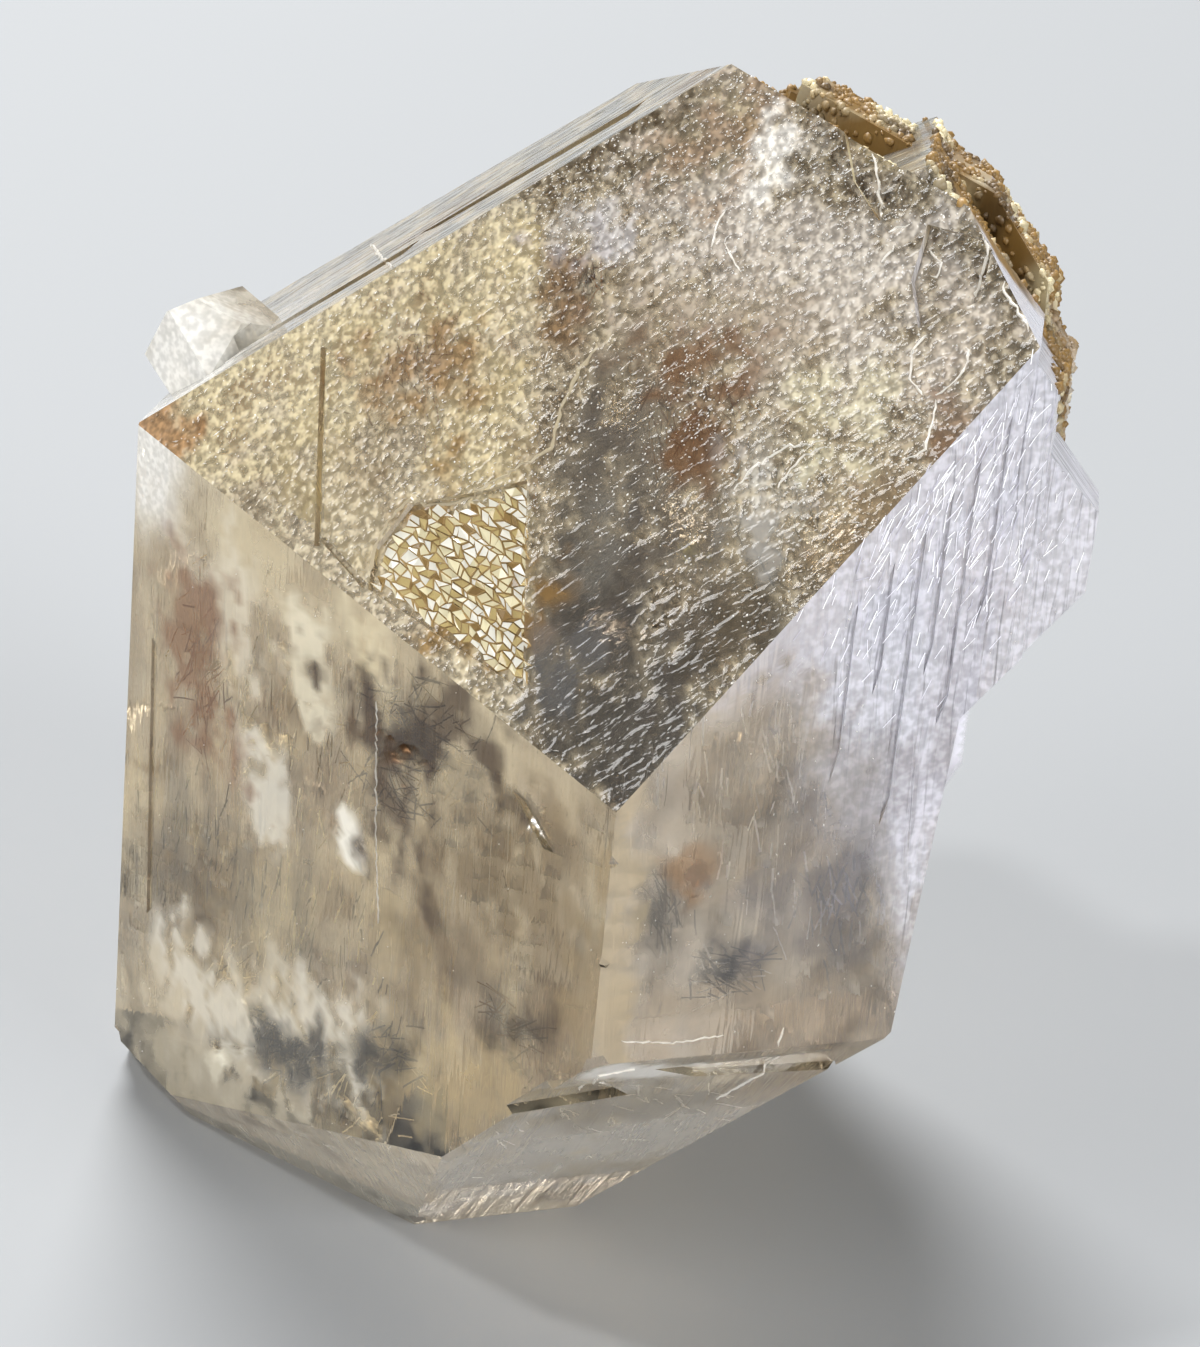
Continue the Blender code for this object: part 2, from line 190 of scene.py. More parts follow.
# the clear body
body = {
    "node": "crystal",
    "longestSide": 0.6,  # mm, of the triangles that carry the painted relief
    "finestSide": 0.48,  # mm, of those on the faces with painted strokes
    "absorption": "#b8925a",
    "absorptionDensity": 14.0,  # per metre
    "ior": 1.544,
    "clearTone": "#efe4cc",
    "hazeTone": "#e6d3a8",
    "pearlTone": "#dfdfe8",
    "coolTone": "#cfc8c0",
    "smokyTone": "#8f6f48",
    "greySmoke": "#87827f",
    "ochreTone": "#8f6f3a",
    "creamTone": "#ddd0aa",
    "umberTone": "#66502f",
    "whiteTone": "#ebe8e0",
    "whiteEnd": (14.5, -4.0, 36.0),  # mm, where the crust ends glassy and white
    "greyTone": "#a6a69f",
    "chippedTone": "#f3f1eb",
    # the roof is pale on one side of the line between these (u, v) in mm, below this v, and dim elsewhere
    "innerEdge": ((5.8, 1.2), (16.9, 14.4)),
    "paleBelow": 15,
    "paleTone": "#d9d1bb",
    "dimTone": "#b0a899",
    # how milky the glass is, from 0 clear to 1 white, and what each kind of ground adds
    "haze": {
        "plain": 0.12, "cloud": 0.2, "fine": 0.2, "behind": 0.06, "backRoof": 0.14, "front": 0.14,
        # the entry for faces that look down is painted light: it makes them milkier so that they read bright
        "under": 0.16, "paleSide": 0.14, "dimSide": -0.02,
    },
    # the least haze where the ground is wholly of that kind
    "leastHaze": {"fibrousFront": 0.75, "fibrous": 0.9, "crusted": 0.7, "leftRoof": 0.5, "chipped": 0.75},
    # how far each tone takes over
    "tint": {
        # the white tone on faces that look down is painted light
        "cool": 0.75, "pearl": 1.1, "roofSmoke": 0.5, "smoke": 0.45, "under": 0.45, "paleSide": 0.45,
        "dimSide": 0.35,
    },
    # mm: the left end's knapped lump, its corner and how far the white ground reaches
    "chipped": ((-14.0, 5.7, 31.0), (-16.2, 2.4, 29.9), 4.8),
    "crustEdge": (5, -10, 32.5),  # mm: the crust lies past this x, y and z
    "roofSlant": 0.6,  # how far the roof's growth grain leans over, as a slope
    # strokes painted on a face: from (u, v) to (u, v) in mm, radius in mm, tone, strength and how milky
    # the glass is
    "strokes": {
        "roof": [
            (24.5, 1.5, 18.0, 11.0, 4.0, "#e6d6a4", 0.5, 0.5),
            (14.9, 8.0, 9.0, 2.5, 3.0, "#dfce9c", 0.45, 0.5),
            (11.0, 18.5, 3.0, 18.1, 5.0, "#dbd3c9", 0.75, 0.6),
            (-1.0, 18.6, -2.0, 16.6, 2.4, "#e6d8c4", 0.5, 0.5),
            (8.9, 8.6, 5.0, 4.6, 2.4, "#67625b", 0.85, 0.38),
            (5.4, 4.6, 0.6, 1.4, 3.4, "#5a5650", 0.95, 0.42),
            (7.5, 10.4, 1.4, 7.0, 3.0, "#67615a", 0.8, 0.38),
            (1.2, 9.6, -0.2, 7.6, 2.0, "#5a5345", 0.85, 0.4),
            (-2.5, 14.2, -1.6, 10.8, 1.7, "#8f7148", 0.6, 0.4),
            (9.6, 14.0, 6.0, 15.6, 1.8, "#b8a284", 0.4, 0.3),
            (18.6, 7.6, 17.4, 8.4, 2.3, "#84592f", 0.7, 0.5),
            (7.0, 13.2, 5.2, 11.2, 1.9, "#75502f", 0.8, 0.5),
            (14.6, 13.8, 13.6, 12.1, 1.5, "#745028", 0.8, 0.5),
            (13.0, 19.2, 11.2, 21.0, 2.0, "#96703f", 0.65, 0.5),
            (-2.2, 16.6, -3.0, 15.0, 1.1, "#75502f", 0.7, 0.5),
            (27.8, 0.3, 25.4, 0.4, 1.0, "#96602a", 0.75, 0.7),
            (3.3, 12.0, 1.4, 10.0, 1.5, "#d4d2cc", 0.6, 0.6),
            (3.2, 15.0, 1.8, 13.4, 1.2, "#e6deb8", 0.6, 0.5),
            (1.2, 16.0, 0.2, 14.6, 1.1, "#e6deb8", 0.6, 0.5),
            (7.4, 7.9, 6.3, 6.0, 0.9, "#99978f", 0.4, 0.4),
            (15.5, 15.0, 13.4, 15.4, 1.2, "#cfcfd6", 0.65, 0.5),
            (10.2, 21.2, 9.2, 19.8, 1.1, "#fbf8f0", 0.8, 0.8),
            (12.6, 3.6, 9.4, 2.6, 2.6, "#8c6c3c", 0.85, 0.7),
            (5.4, 2.2, 4.6, 3.4, 1.2, "#8a8d90", 0.5, 0.3),
        ],
        "frontLeft": [
            (27.0, -2.0, 7.0, -0.2, 2.7, "#ecdcb4", 0.6, 0.55),
            (8.6, 5.6, 3.2, 4.6, 3.4, "#8f7a56", 0.85, 0.25),
            (2.2, 9.6, 2.0, 3.0, 2.2, "#ab9570", 0.6, 0.25),
            (0.5, 2.0, 0.5, 9.6, 1.1, "#b39d75", 0.7, 0.55),
            (8.6, 15.8, 5.0, 12.6, 2.4, "#e8cd92", 0.6, 0.5),
            (18.9, 6.4, 18.1, 8.8, 1.9, "#f4efe0", 0.8, 0.7),
            (21.8, 0.6, 20.8, 3.4, 2.0, "#ece2cc", 0.75, 0.7),
            (17.0, 0.9, 15.8, 3.0, 1.8, "#f4ebd0", 0.85, 0.75),
            (13.4, -0.8, 12.2, 0.8, 1.6, "#f2e4c0", 0.75, 0.7),
            (25.0, -0.6, 23.8, 1.6, 1.5, "#efe4cf", 0.7, 0.6),
            (13.9, 6.9, 13.6, 8.0, 0.7, "#fbf8ec", 0.9, 0.9),
            (24.3, 2.0, 22.7, 7.8, 2.2, "#85552d", 0.85, 0.5),
            (12.2, 2.5, 8.4, 0.8, 2.8, "#493723", 0.95, 0.45),
            (10.8, 5.4, 13.0, 2.4, 2.6, "#4f3c28", 0.9, 0.45),
            (14.2, 4.6, 13.8, 3.6, 1.1, "#6d563a", 0.6, 0.4),
            (24.5, 10.2, 24.4, 13.8, 1.0, "#8a867a", 0.6, 0.3),
            (22.7, 11.3, 22.2, 14.2, 0.8, "#68655f", 0.6, 0.3),
            (20.4, 11.6, 20.1, 15.4, 1.1, "#7d786e", 0.55, 0.3),
            (16.6, 11.0, 16.4, 14.4, 0.9, "#857d6c", 0.5, 0.3),
            (25.7, 14.6, 25.8, 17.8, 0.9, "#78736a", 0.55, 0.3),
            (22.8, 19.4, 14.0, 16.2, 3.1, "#f3ecdb", 0.8, 0.75),
            (26.0, 20.4, 20.0, 23.0, 1.6, "#eaddc2", 0.5, 0.5),
            (17.9, 18.9, 15.4, 17.8, 1.5, "#474541", 0.85, 0.4),
            (12.2, 16.2, 9.9, 14.8, 1.2, "#3a352c", 0.85, 0.4),
            (6.0, 11.4, 3.2, 10.0, 1.1, "#54442e", 0.8, 0.4),
            (21.6, 21.8, 21.2, 21.3, 0.6, "#fffbe6", 1.0, 1.0),
            (19.6, 16.6, 16.2, 9.8, 1.6, "#d9cba9", 0.4, 0.4),
            # painted light: the next stroke lightens the bottom of this face, over the dark that it shows of
            # the shadow below
            (27.4, 22.4, 12.0, 24.2, 2.6, "#d6c8ab", 0.7, 0.65),
        ],
        "frontRight": [
            (7.0, -7.4, 12.4, -9.8, 3.4, "#e3e3ee", 0.8, 0.7),
            (10.3, -11.6, 3.6, -4.4, 1.6, "#e3e2ec", 0.6, 0.6),
            (11.0, 1.6, 11.8, -6.0, 2.2, "#e6e4ee", 0.7, 0.6),
            (4.9, -1.8, 3.2, 1.0, 2.2, "#c4b59c", 0.5, 0.4),
            (4.4, 6.2, 4.9, 7.8, 1.1, "#54555a", 0.8, 0.4),
            (8.2, 3.2, 8.3, 6.4, 1.2, "#74757c", 0.65, 0.35),
            (1.8, 3.4, 1.8, 5.2, 1.0, "#6f6a63", 0.7, 0.4),
            (6.0, 0.8, 6.1, 3.4, 1.0, "#888684", 0.5, 0.3),
            (2.8, 2.8, 2.6, 2.0, 0.9, "#a2784c", 0.65, 0.5),
            (1.7, 8.6, 8.0, 8.6, 1.7, "#d6c4ab", 0.5, 0.45),
            (12.4, 3.0, 11.6, 8.0, 1.6, "#c2bab0", 0.5, 0.45),
            (0.3, -1.0, 0.3, 9.6, 1.0, "#cdbb98", 0.7, 0.6),
            (9.0, -1.0, 6.4, 4.6, 2.0, "#b3aeb0", 0.4, 0.4),
        ],
        "foot": [
            (0.6, 0.8, 4.9, 2.2, 0.9, "#fcfaf6", 0.85, 0.85),
            # painted light: the next, broad white stroke lightens this downward face, which gets little light
            (-3.5, 13.0, 6.0, 9.4, 6.0, "#f6f2ea", 0.8, 0.5),
            (2.0, 7.0, 7.0, 5.0, 1.8, "#b5ab98", 0.5, 0.3),
        ],
        # painted light: the white stroke on the left foot lightens this downward face, which gets little
        # light
        "leftFoot": [(13.0, 3.0, 0.0, 3.4, 4.5, "#fbf2dd", 0.8, 0.5)],
    },
}
faceNormals = {face: faceAxes(face)[3] for face in faces}
strokes = {
    face: [stroke[:5] + (linear(stroke[5]),) + stroke[6:] for stroke in painted]
    for face, painted in body["strokes"].items()}


def strokeCover(u, v, stroke, ragged):
    # how strongly a painted stroke covers (u, v)
    u1, v1, u2, v2, radius = stroke[:5]
    run, rise = u2 - u1, v2 - v1
    share = max(0.0, min(1.0, ((u - u1) * run + (v - v1) * rise) / (run * run + rise * rise)))
    away = math.hypot(u - u1 - share * run, v - v1 - share * rise) / radius
    return 0.0 if away > 2 else max(0.0, min(1.0, 1.5 * (1.0 - away - ragged)))


def onPaleSide(u, v):
    (u1, v1), (u2, v2) = body["innerEdge"]
    return (u - u1) * (v2 - v1) - (v - v1) * (u2 - u1) > 0 and v < body["paleBelow"]


def blend(first, second, share):
    return [a + (b - a) * share for a, b in zip(first, second)]


def clamp(value):
    return max(0.0, min(1.0, value))


def crustTone(point, settings):
    # the druse runs from dark brown over ochre to cream, palest along the top, where the cream is a painted
    # highlight, and at its white end
    creamAndTopHighlight = 3 * noise.noise(point * 420) + 100 * (point.z - 0.042)
    white = clamp(2 - (point - mm(*settings["whiteEnd"])).length * 600)
    tone = blend(linear(settings["ochreTone"]), linear(settings["creamTone"]), clamp(creamAndTopHighlight))
    dark = 2.5 * noise.noise(point * 650 + Vector((0.5, 0, 0))) - 0.3
    tone = blend(tone, linear(settings["umberTone"]), clamp(dark))
    return blend(tone, linear(settings["whiteTone"]), white)


def growthNoise(point, roof):
    # cloud: milky patches about 4 mm across. fine: about 1 mm. ragged: how a stroke's edge frays.
    # smoky: where the grey-brown smoke hangs. All but the roof is drawn out upwards.
    streaked = point * Vector((1, 1, 1 if roof else 0.6))
    cloud = noise.fractal(streaked * 260, 0.9, 2.1, 4)
    fine = noise.fractal(streaked * 1100, 0.9, 2.1, 3)
    strands = noise.ridged_multi_fractal(streaked * 800 + Vector((0, 0.3, 0)), 0.9, 2.2, 3, 1.0, 2.0)
    ragged = 0.6 * noise.noise(streaked * 420) + 0.55 * fine + 0.75 * (strands - 1.1)
    smoky = clamp(1.6 * noise.fractal(streaked * 330 + Vector((0.4, 0, 0)), 0.8, 2.2, 4) - 0.1)
    return cloud, fine, ragged, smoky


def fibrousShare(point, normal, cloud, front, roof):
    # pearly growth fibres: up the front right face, on the steep ground beside it and round the right
    x, y, z = point * 1000
    spread = clamp((z - 22) / 10 + (x - 9) / 5 + 0.7 * cloud)
    if front:
        return spread
    if roof:
        return 0.0
    steep = z > 16 and abs(normal.z) < 0.4
    nearFront = clamp(1.4 - 1.4 * abs(heightOver(point, "frontRight"))) if steep else 0.0
    sideways = clamp((z - 25 + 6 * cloud) / 9) * clamp(3 * normal.x - 0.9) * clamp((x - 7) / 5)
    return max(sideways, nearFront * spread)


def crustedShare(point, cloud, settings):
    # the crust ends in a wavering edge 1.5 to 2 mm wide
    x, y, z = point * 1000
    edgeX, edgeY, edgeZ = settings["crustEdge"]
    above = clamp((z - edgeZ + 4 * cloud) / 1.5)
    return above * clamp((y - edgeY + 3 * cloud) / 1.5) * clamp((x - edgeX + 3 * cloud) / 2)


def chippedShare(point, cloud, settings):
    # white knapped ground round the line from the lump to its corner
    lump, lumpCorner, reach = settings["chipped"]
    run = mm(*lumpCorner) - mm(*lump)
    nearest = mm(*lump) + run * clamp((point - mm(*lump)).dot(run) / run.length_squared)
    return clamp(1.5 * (1.2 + 0.5 * cloud - (point - nearest).length * 1000 / reach))


def grainAxes(normal, roof, leftRoof, settings):
    # across and along the growth grain, which is 3.5 times closer along the roof
    if leftRoof:
        corner, along, across, lean = faceAxes("leftRoof")
        return across, along
    if roof:
        corner, sideways, upwards, lean = faceAxes("roof")
        along = (upwards - sideways * settings["roofSlant"]).normalized() * 3.5
        return along.cross(lean).normalized(), along
    along = Vector((0, 0, 1))
    level = abs(normal.z) >= 0.99
    return Vector((1, 0, 0)) if level else normal.cross(along).normalized(), along


def paintOf(point, normal, settings):
    # base colour with clearness, relief (etched, grained, rough, crusted) and place along the growth grain
    haze, tint, leastHaze = settings["haze"], settings["tint"], settings["leastHaze"]
    looks = {face: normal.dot(faceNormals[face]) for face in faces}
    roof = looks["roof"] > sameWay["roof"] and heightOver(point, "roof") > -0.7
    leftRoof = looks["leftRoof"] > sameWay["roof"]
    front = looks["frontRight"] > sameWay["front"]
    cloud, fine, ragged, smoky = growthNoise(point, roof)
    behind = clamp(3 * normal.y - 0.3)
    backRoof = behind * clamp(4 * normal.z - 1)
    fibrous = fibrousShare(point, normal, cloud, front, roof)
    bare = not roof and not leftRoof and normal.z > -0.5
    crusted = crustedShare(point, cloud, settings) if bare else 0.0
    chipped = chippedShare(point, cloud, settings) if not roof and not front else 0.0
    milky = haze["plain"] + haze["cloud"] * cloud + haze["fine"] * fine
    milky = milky + haze["behind"] * behind + haze["backRoof"] * backRoof
    tone = blend(linear(settings["clearTone"]), linear(settings["hazeTone"]), clamp(0.3 + milky * 1.4))
    tone = blend(tone, linear(settings["coolTone"]), tint["cool"] * front)
    milky += haze["front"] * front
    tone = blend(tone, linear(settings["pearlTone"]), clamp(tint["pearl"] * fibrous))
    tone = blend(tone, linear(settings["greyTone"]), clamp(0.7 + fine) * leftRoof)
    smokyTone = linear(settings["greySmoke" if front else "smokyTone"])
    tone = blend(tone, smokyTone, tint["roofSmoke" if roof else "smoke"] * smoky * (1 - fibrous))
    # painted light: faces that look down are whitened and made milkier, so that they read bright though
    # little light reaches them
    if normal.z < -0.3:
        tone = blend(tone, linear(settings["whiteTone"]), tint["under"])
        milky += haze["under"]
    milky = max(
        clamp(milky), leastHaze["fibrousFront" if front else "fibrous"] * fibrous,
        leastHaze["crusted"] * crusted, leastHaze["leftRoof"] * leftRoof)
    etching = 0.8
    for face, painted in strokes.items():
        if looks[face] <= sameWay["painted"] or (face == "roof" and not roof):
            continue
        u, v = placeOn(point, face)
        if face == "roof":
            side = "paleSide" if onPaleSide(u, v) else "dimSide"
            tone = blend(tone, linear(settings["paleTone" if side == "paleSide" else "dimTone"]), tint[side])
            milky += haze[side]
        for stroke in painted:
            strokeTone, strength, strokeHaze = stroke[5:]
            share = strength * strokeCover(u, v, stroke, ragged)
            if share:
                tone = blend(tone, strokeTone, share)
                milky += (strokeHaze - milky) * share
                etching -= 0.6 * share * (strokeHaze < 0.45)  # dark clear strokes are smoother
    tone = blend(tone, linear(settings["chippedTone"]), chipped)
    tone = blend(tone, crustTone(point, settings), clamp(crusted * (1.1 + cloud)))
    milky = max(milky, leastHaze["chipped"] * chipped)
    tone = tone[:3] + [1 - 0.85 * clamp(milky)]
    plainEtched = 0.02 + 0.08 * behind + 0.2 * backRoof + 0.3 * chipped + 0.35 * fibrous * front
    etched = max(0.08, etching) if roof else plainEtched
    grained = max(fibrous, 0.9 * leftRoof, 0.15 * roof * max(0.3, etching), 0.1, 0.25 * behind)
    rough = 0.03 + 0.05 * roof + 0.2 * fibrous + 0.3 * crusted + 0.04 * behind + 0.3 * backRoof
    across, along = grainAxes(normal, roof, leftRoof, settings)
    return tone, (etched, clamp(grained), rough, crusted), (point.dot(across) * 1000, point.dot(along) * 1000)


def clearQuartz(settings):
    # smoky quartz, natural growth faces: a glassy see-through body with a grey-brown smoke in it, milky
    # where it is hazed, etched to a fine glitter on the big roof face, fibrous and pearly down the right side
    material, tree = newMaterial("smokyQuartzBody")
    place = addNode(tree, "ShaderNodeTexCoord").outputs["Object"]
    tone = addNode(tree, "ShaderNodeAttribute", attribute_name="tone")
    relief = addNode(tree, "ShaderNodeAttribute", attribute_name="relief")
    grainPlace = addNode(tree, "ShaderNodeUVMap", uv_map="grain")
    parts = addNode(tree, "ShaderNodeSeparateColor", {"Color": relief.outputs["Color"]}).outputs
    # etched grit about 0.25 mm apart
    grit = addNode(tree, "ShaderNodeTexNoise", {"Vector": place}, {"Scale": 3600.0, "Detail": 1.0})
    # growth grain: fibres about 0.35 mm apart and 4 mm long
    stretched = addNode(
        tree, "ShaderNodeMapping", {"Vector": grainPlace.outputs[0]}, {"Scale": (2.6, 0.25, 1.0)})
    grain = addNode(
        tree, "ShaderNodeTexNoise", {"Vector": stretched.outputs[0]},
        {"Scale": 1.0, "Detail": 2.0, "Distortion": 0.4}, noise_dimensions="2D")
    gritHeight = addNode(tree, "ShaderNodeMath", {0: grit.outputs["Fac"], 1: parts[0]}, operation="MULTIPLY")
    lowGrit = addNode(tree, "ShaderNodeMath", {0: gritHeight.outputs[0]}, {1: 0.5}, operation="MULTIPLY")
    grainHeight = addNode(
        tree, "ShaderNodeMath", {0: grain.outputs["Fac"], 1: parts[1]}, operation="MULTIPLY")
    height = addNode(
        tree, "ShaderNodeMath", {0: grainHeight.outputs[0], 2: lowGrit.outputs[0]}, {1: 2.2},
        operation="MULTIPLY_ADD")
    bump = addNode(
        tree, "ShaderNodeBump", {"Height": height.outputs[0]}, {"Strength": 1.0, "Distance": 0.00014})
    # the same grit breaks the haze into frosted and clear flecks
    fleck = addNode(
        tree, "ShaderNodeMapRange", {"Value": grit.outputs["Fac"]},
        {"From Min": 0.45, "From Max": 0.7, "To Min": 0.0, "To Max": 0.3})
    frosted = addNode(tree, "ShaderNodeMath", {0: fleck.outputs[0], 1: parts[0]}, operation="MULTIPLY")
    clearness = addNode(
        tree, "ShaderNodeMath", {0: tone.outputs["Alpha"], 1: frosted.outputs[0]},
        operation="SUBTRACT", use_clamp=True)
    # and paints shade into the pits between them, with a little painted light on the grit's tops
    pitShade = addNode(
        tree, "ShaderNodeMapRange", {"Value": grit.outputs["Fac"]},
        {"From Min": 0.32, "From Max": 0.62, "To Min": 0.5, "To Max": 1.12})
    pitShaded = addNode(
        tree, "ShaderNodeVectorMath", {0: tone.outputs["Color"], "Scale": pitShade.outputs[0]},
        operation="SCALE")
    skin = addNode(
        tree, "ShaderNodeMix", {"Factor": parts[0], 6: tone.outputs["Color"], 7: pitShaded.outputs[0]},
        data_type="RGBA")
    shader = addNode(
        tree, "ShaderNodeBsdfPrincipled",
        {"Normal": bump.outputs["Normal"], "Base Color": skin.outputs[2],
         "Transmission Weight": clearness.outputs[0], "Roughness": parts[2]}, {"IOR": settings["ior"]})
    smoke = addNode(
        tree, "ShaderNodeVolumeAbsorption", None,
        {"Color": linear(settings["absorption"]), "Density": settings["absorptionDensity"]})
    addNode(tree, "ShaderNodeOutputMaterial", {"Surface": shader.outputs[0], "Volume": smoke.outputs[0]})
    return material


def makeBody(settings):
    bm = bmesh.new()
    bm.from_mesh(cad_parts[settings["node"]].data)
    bmesh.ops.remove_doubles(bm, verts=bm.verts, dist=1e-6)  # the node's triangles are loose
    finest = [faceNormals[face] for face in ("roof", "frontLeft", "frontRight")]
    for k in range(12):  # halvings, more than are needed
        painted = {
            e for f in bm.faces for e in f.edges
            if max(f.normal.dot(n) for n in finest) > sameWay["painted"]}
        tooLong = [
            e for e in bm.edges
            if e.calc_length() > 0.001 * settings["finestSide" if e in painted else "longestSide"]]
        if not tooLong:
            break
        bmesh.ops.subdivide_edges(bm, edges=tooLong, cuts=1, use_grid_fill=False)
        bmesh.ops.triangulate(bm, faces=[f for f in bm.faces if len(f.verts) > 3])
    bm.faces.ensure_lookup_table()
    toneLayer = bm.loops.layers.float_color.new("tone")
    reliefLayer = bm.loops.layers.float_color.new("relief")
    grainLayer = bm.loops.layers.uv.new("grain")
    paint = {}
    for face in bm.faces:
        facing = tuple(round(c, 2) for c in face.normal)
        for loop in face.loops:
            key = (loop.vert.index, facing)
            if key not in paint:
                paint[key] = paintOf(loop.vert.co, face.normal, settings)
            loop[toneLayer], loop[reliefLayer], loop[grainLayer].uv = paint[key]
    print("body triangles", len(bm.faces))
    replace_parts(finishPiece("crystalBody", bm, clearQuartz(settings)), settings["node"])


makeBody(body)
print("clear body made")


# glitter: etch pits and short growth dashes that catch the light, white specks whose white is frosting and
# also painted glint
glitter = {
    "colour": "#fffdf8",
    "rise": 0.04,  # mm out of the face
    "groups": {  # face, how many, radius range in mm, stretch, seed, then in mm: u from, u to, v from, v to
        "dust": ("roof", 3600, (0.014, 0.045), 1.6, 11, (-4.5, 29.0, 0.2, 23.5)),
        "dashes": ("roof", 520, (0.014, 0.03), 8.0, 12, (-4.5, 29.0, 0.2, 23.5)),
        "prismDust": ("frontRight", 110, (0.012, 0.03), 3.0, 13, (0.2, 15.5, -15.0, 10.0)),
        "leftDust": ("frontLeft", 60, (0.012, 0.03), 1.5, 14, (0.2, 29.5, -4.0, 24.0)),
    },
    "paleShare": 0.3,  # how much of it is left on the roof's pale side
    "darkShare": 0.35,  # and near the roof's dark lowest corner
    "darkCorner": (10, 11),  # (u, v) in mm
}


def whiteEtchAndGlint(settings):
    # etch pits in quartz: tiny frosted facets that scatter white, their white also a painted glint
    material, tree = newMaterial("frostedEtchPitAndPaintedGlint")
    shader = addNode(
        tree, "ShaderNodeBsdfPrincipled", None,
        {"Base Color": linear(settings["colour"]), "Roughness": 0.3, "IOR": 1.544,
         "Transmission Weight": 0.3})
    addNode(tree, "ShaderNodeOutputMaterial", {"Surface": shader.outputs[0]})
    return material


def makeGlitter(settings):
    whole, batch = bmesh.new(), bmesh.new()
    for group, (face, count, sizes, stretch, seed, reach) in settings["groups"].items():
        dice = random.Random(seed)
        corner, along, across, normal = faceAxes(face)
        slant = (across - along * body["roofSlant"]).normalized() if face == "roof" else across
        made = 0
        for attempt in range(count * 4):
            u, v = dice.uniform(*reach[:2]), dice.uniform(*reach[2:])
            spot, lean = spotOn(face, u, v)
            if not onFace(face, u, v):
                continue
            crowd = 0.5 + 1.4 * noise.noise(spot * 200)
            if group == "dust":  # thicker up the roof
                crowd += 0.25 * (v - 9) / 6
            if group == "dashes":  # thicker down it
                crowd += 0.3 - 0.25 * (v - 9) / 6
            if face == "roof" and onPaleSide(u, v):
                crowd *= settings["paleShare"]
            elif face == "roof" and u < settings["darkCorner"][0] and v < settings["darkCorner"][1]:
                crowd *= settings["darkShare"]
            if dice.random() > crowd:
                continue
            size = dice.uniform(*sizes) * 0.001
            away = normal.to_track_quat("Z", "Y").to_matrix().to_4x4()
            axis = away.inverted() @ slant
            spin = math.atan2(axis.y, axis.x) + dice.gauss(0, 0.35)
            shape = Matrix.Diagonal((dice.uniform(1, stretch), 1, 1, 1))
            place = Matrix.Translation(spot + normal * settings["rise"] * 0.0004)  # its foot sinks a little
            bmesh.ops.create_cone(
                batch, cap_ends=False, segments=dice.choice((3, 4)), radius1=size, radius2=size * 0.25,
                depth=settings["rise"] * 0.001, matrix=place @ away @ Matrix.Rotation(spin, 4, "Z") @ shape)
            made += 1
            if made % batchSize == 0:
                batch = pour(batch, whole)
            if made == count:
                break
    pour(batch, whole).free()
    finishPiece("etchGlitter", whole, whiteEtchAndGlint(settings))


makeGlitter(glitter)
print("glitter made")


# growth lines: low winding ridges where one layer of the crystal ends on the next
growthLines = {
    "colour": "#ece7dd",
    "stepColour": "#b5a88c",  # of the first line
    "rise": 0.06,  # mm
    "step": 0.18,  # mm between two points of a ridge
    "waver": 0.035,  # mm
    "sink": 0.02,  # mm that its two rims lie under the face
    "seed": 5,
    "lines": [  # face, width in mm, then the (u, v) points in mm
        ("roof", 0.2, [(14.3, 1.0), (14.9, 1.9), (15.0, 2.9), (14.7, 3.9), (13.3, 4.6), (12.3, 5.7),
                       (11.5, 7.0), (11.0, 7.9), (10.7, 8.3), (11.2, 9.2), (11.4, 9.9), (11.6, 11.0),
                       (11.6, 12.3)]),
        ("roof", 0.14, [(7.1, 22.8), (6.2, 22.2), (5.4, 21.4), (4.5, 20.6)]),
        ("roof", 0.14, [(4.0, 20.5), (3.6, 20.9), (3.4, 21.2)]),
        ("roof", 0.12, [(3.6, 19.5), (3.5, 20.4)]),
        ("roof", 0.14, [(1.1, 22.1), (0.5, 21.5), (0.1, 20.6), (-0.1, 19.9)]),
        ("roof", 0.16, [(1.0, 22.2), (0.1, 21.8), (-0.6, 21.3), (-1.0, 20.7), (-1.9, 20.4), (-2.8, 20.0)]),
        ("roof", 0.12, [(0.6, 18.3), (0.6, 17.6), (0.1, 16.8), (-0.9, 16.5)]),
        ("roof", 0.12, [(-1.1, 16.8), (-1.4, 17.5), (-1.4, 18.3), (-0.8, 18.8)]),
        ("roof", 0.13, [(-1.2, 16.7), (-1.7, 15.8), (-1.9, 15.2), (-1.5, 14.6), (-1.6, 14.2)]),
        ("roof", 0.1, [(9.8, 17.0), (10.2, 17.7), (10.2, 18.5)]),
        ("roof", 0.1, [(9.4, 17.3), (8.7, 17.0), (8.0, 16.8)]),
        ("roof", 0.1, [(2.5, 20.7), (1.8, 20.5), (1.6, 20.0), (2.1, 20.0)]),
        ("roof", 0.12, [(3.4, 10.7), (3.2, 11.8), (2.5, 12.9), (1.3, 13.8)]),
        ("roof", 0.1, [(2.0, 11.5), (1.9, 12.7), (1.2, 13.7)]),
        ("leftRoof", 0.14, [(8.1, 9.1), (10.2, 4.2), (12.0, 0.3)]),
        ("frontRight", 0.08, [(0.7, 9.1), (2.6, 9.4), (4.6, 9.3)]),
        ("frontRight", 0.1, [(6.6, 9.3), (6.4, 9.9), (6.6, 10.1)]),
        ("foot", 0.1, [(6.1, 6.0), (7.0, 3.2), (8.0, 0.6)]),
        ("foot", 0.14, [(0.6, 4.3), (0.6, 1.3), (1.9, 0.8)]),
        ("frontLeft", 0.05, [(12.6, 1.5), (12.3, 6.0), (11.8, 10.4)]),
    ],
}


